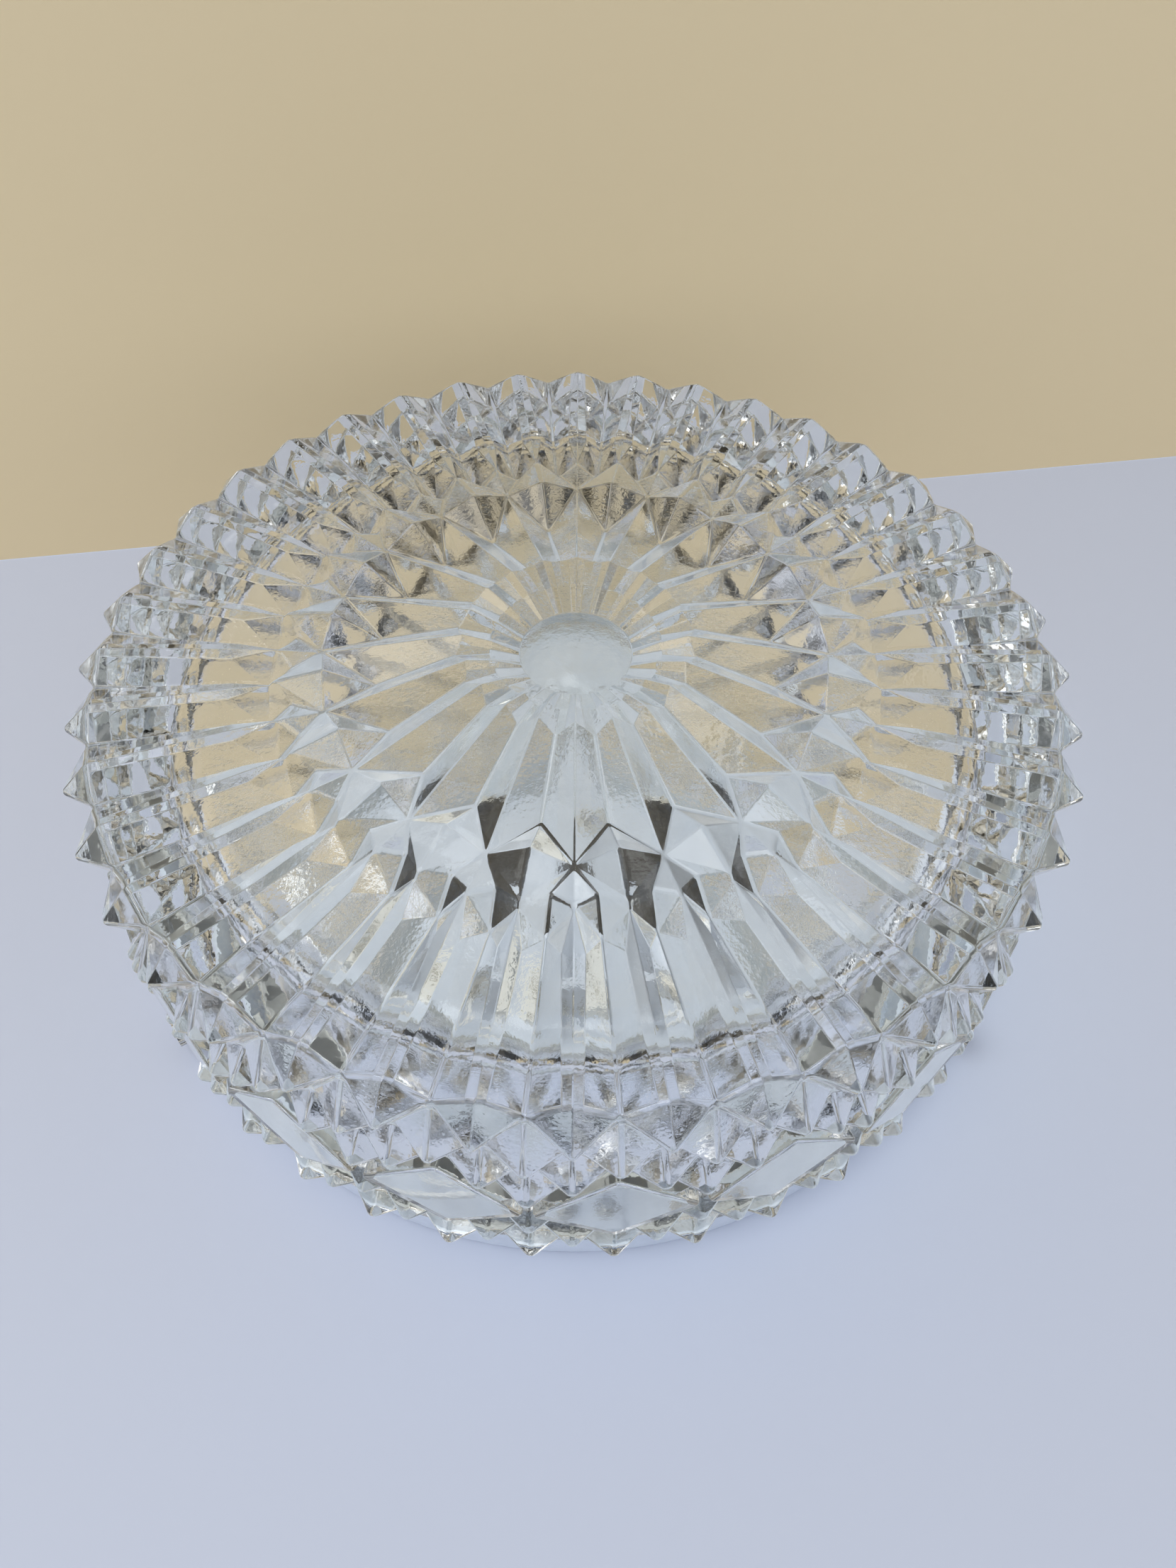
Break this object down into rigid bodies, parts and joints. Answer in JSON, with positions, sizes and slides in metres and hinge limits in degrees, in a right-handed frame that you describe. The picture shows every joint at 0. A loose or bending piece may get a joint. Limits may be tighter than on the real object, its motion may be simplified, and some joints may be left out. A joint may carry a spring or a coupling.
{
  "type": "flush ceiling light",
  "caption": "Flush ceiling light: pressed-glass drum shade with a ribbed, star-cut dome, held on an enamelled pan by radial thumbscrews over one lampholder.",
  "frame": {"origin": "centre of the pan's back, the face that lies on the ceiling", "axes": "+Z away from the ceiling, through the middle of the glass dome; +Y along the lamp, from its holder to its crown"},
  "size_m": [0.28, 0.28, 0.1114],
  "materials": {
    "clear_pressed_glass": "fire-polished, faintly rippled",
    "white_enamel": "stoved white enamel",
    "grey_rubber": "soft, matt",
    "nickelled_brass": "nickelled and knurled",
    "zinc_steel": "zinc plated",
    "brass": "turned",
    "porcelain": "unglazed white",
    "lamp_glass": "clear, thin",
    "lamp_cap_metal": "rolled thread",
    "black_vitrite": "fused black glass",
    "solder": "dull",
    "tungsten": "wire",
    "black_phenolic": "moulded black phenolic",
    "glass_fibre_sleeve": "braided white sleeving"
  },
  "bodies": {
    "fitting": {"ceiling_pan": "white_enamel", "rim_gasket": "grey_rubber", "gallery_bushes": "zinc_steel", "holder_bracket": "white_enamel", "welded_studs": "zinc_steel", "stud_nuts": "nickelled_brass", "earth_washer": "nickelled_brass", "cable_grommet": "grey_rubber", "holder_nipple": "nickelled_brass", "nipple_nut": "nickelled_brass", "holder_cap": "white_enamel", "holder_barrel": "black_phenolic", "holder_insulator": "porcelain", "holder_shell": "brass", "centre_contact": "brass", "terminal_block": "porcelain", "terminal_sleeves": "nickelled_brass", "terminal_screws": "nickelled_brass", "lead_live": "glass_fibre_sleeve", "lead_neutral": "glass_fibre_sleeve"},
    "shade": {"glass_shade": "clear_pressed_glass"},
    "lamp": {"lamp_cap": "lamp_cap_metal", "lamp_cap_insulator": "black_vitrite", "lamp_contact": "solder", "bulb_glass": "lamp_glass", "lamp_stem": "lamp_glass", "filament_supports": "tungsten", "filament": "tungsten"},
    "pad_1": {"thumbscrew_pad_1": "grey_rubber"},
    "screw_1": {"thumbscrew_1": "nickelled_brass"},
    "pad_2": {"thumbscrew_pad_2": "grey_rubber"},
    "screw_2": {"thumbscrew_2": "nickelled_brass"},
    "pad_3": {"thumbscrew_pad_3": "grey_rubber"},
    "screw_3": {"thumbscrew_3": "nickelled_brass"}
  },
  "joints": [
    {"name": "shade_lift", "type": "slide", "parent": "fitting", "child": "shade", "axis": [0, 0, 1], "range_m": [0, 0.12]},
    {"name": "lamp_withdraw", "type": "slide", "parent": "fitting", "child": "lamp", "axis": [0, 1, 0], "range_m": [0, 0.025]},
    {"name": "screw_1_travel", "type": "slide", "parent": "fitting", "child": "pad_1", "axis": [0, -1, 0], "range_m": [0, 0.0026]},
    {"name": "screw_1_turn", "type": "hinge", "parent": "pad_1", "child": "screw_1", "pos_m": [0, 0.135, 0.0104], "axis": [0, -1, 0], "range_deg": [0, 1337.6]},
    {"name": "screw_2_travel", "type": "slide", "parent": "fitting", "child": "pad_2", "axis": [0.866, 0.5, 0], "range_m": [0, 0.0026]},
    {"name": "screw_2_turn", "type": "hinge", "parent": "pad_2", "child": "screw_2", "pos_m": [-0.11691, -0.0675, 0.0104], "axis": [0.866, 0.5, 0], "range_deg": [0, 1337.6]},
    {"name": "screw_3_travel", "type": "slide", "parent": "fitting", "child": "pad_3", "axis": [-0.866, 0.5, 0], "range_m": [0, 0.0026]},
    {"name": "screw_3_turn", "type": "hinge", "parent": "pad_3", "child": "screw_3", "pos_m": [0.11691, -0.0675, 0.0104], "axis": [-0.866, 0.5, 0], "range_deg": [0, 1337.6]}
  ],
  "couplings": [
    {"joint": "screw_1_turn", "follows": "screw_1_travel", "rad_per_m": 8976},
    {"joint": "screw_2_turn", "follows": "screw_2_travel", "rad_per_m": 8976},
    {"joint": "screw_3_turn", "follows": "screw_3_travel", "rad_per_m": 8976}
  ]
}
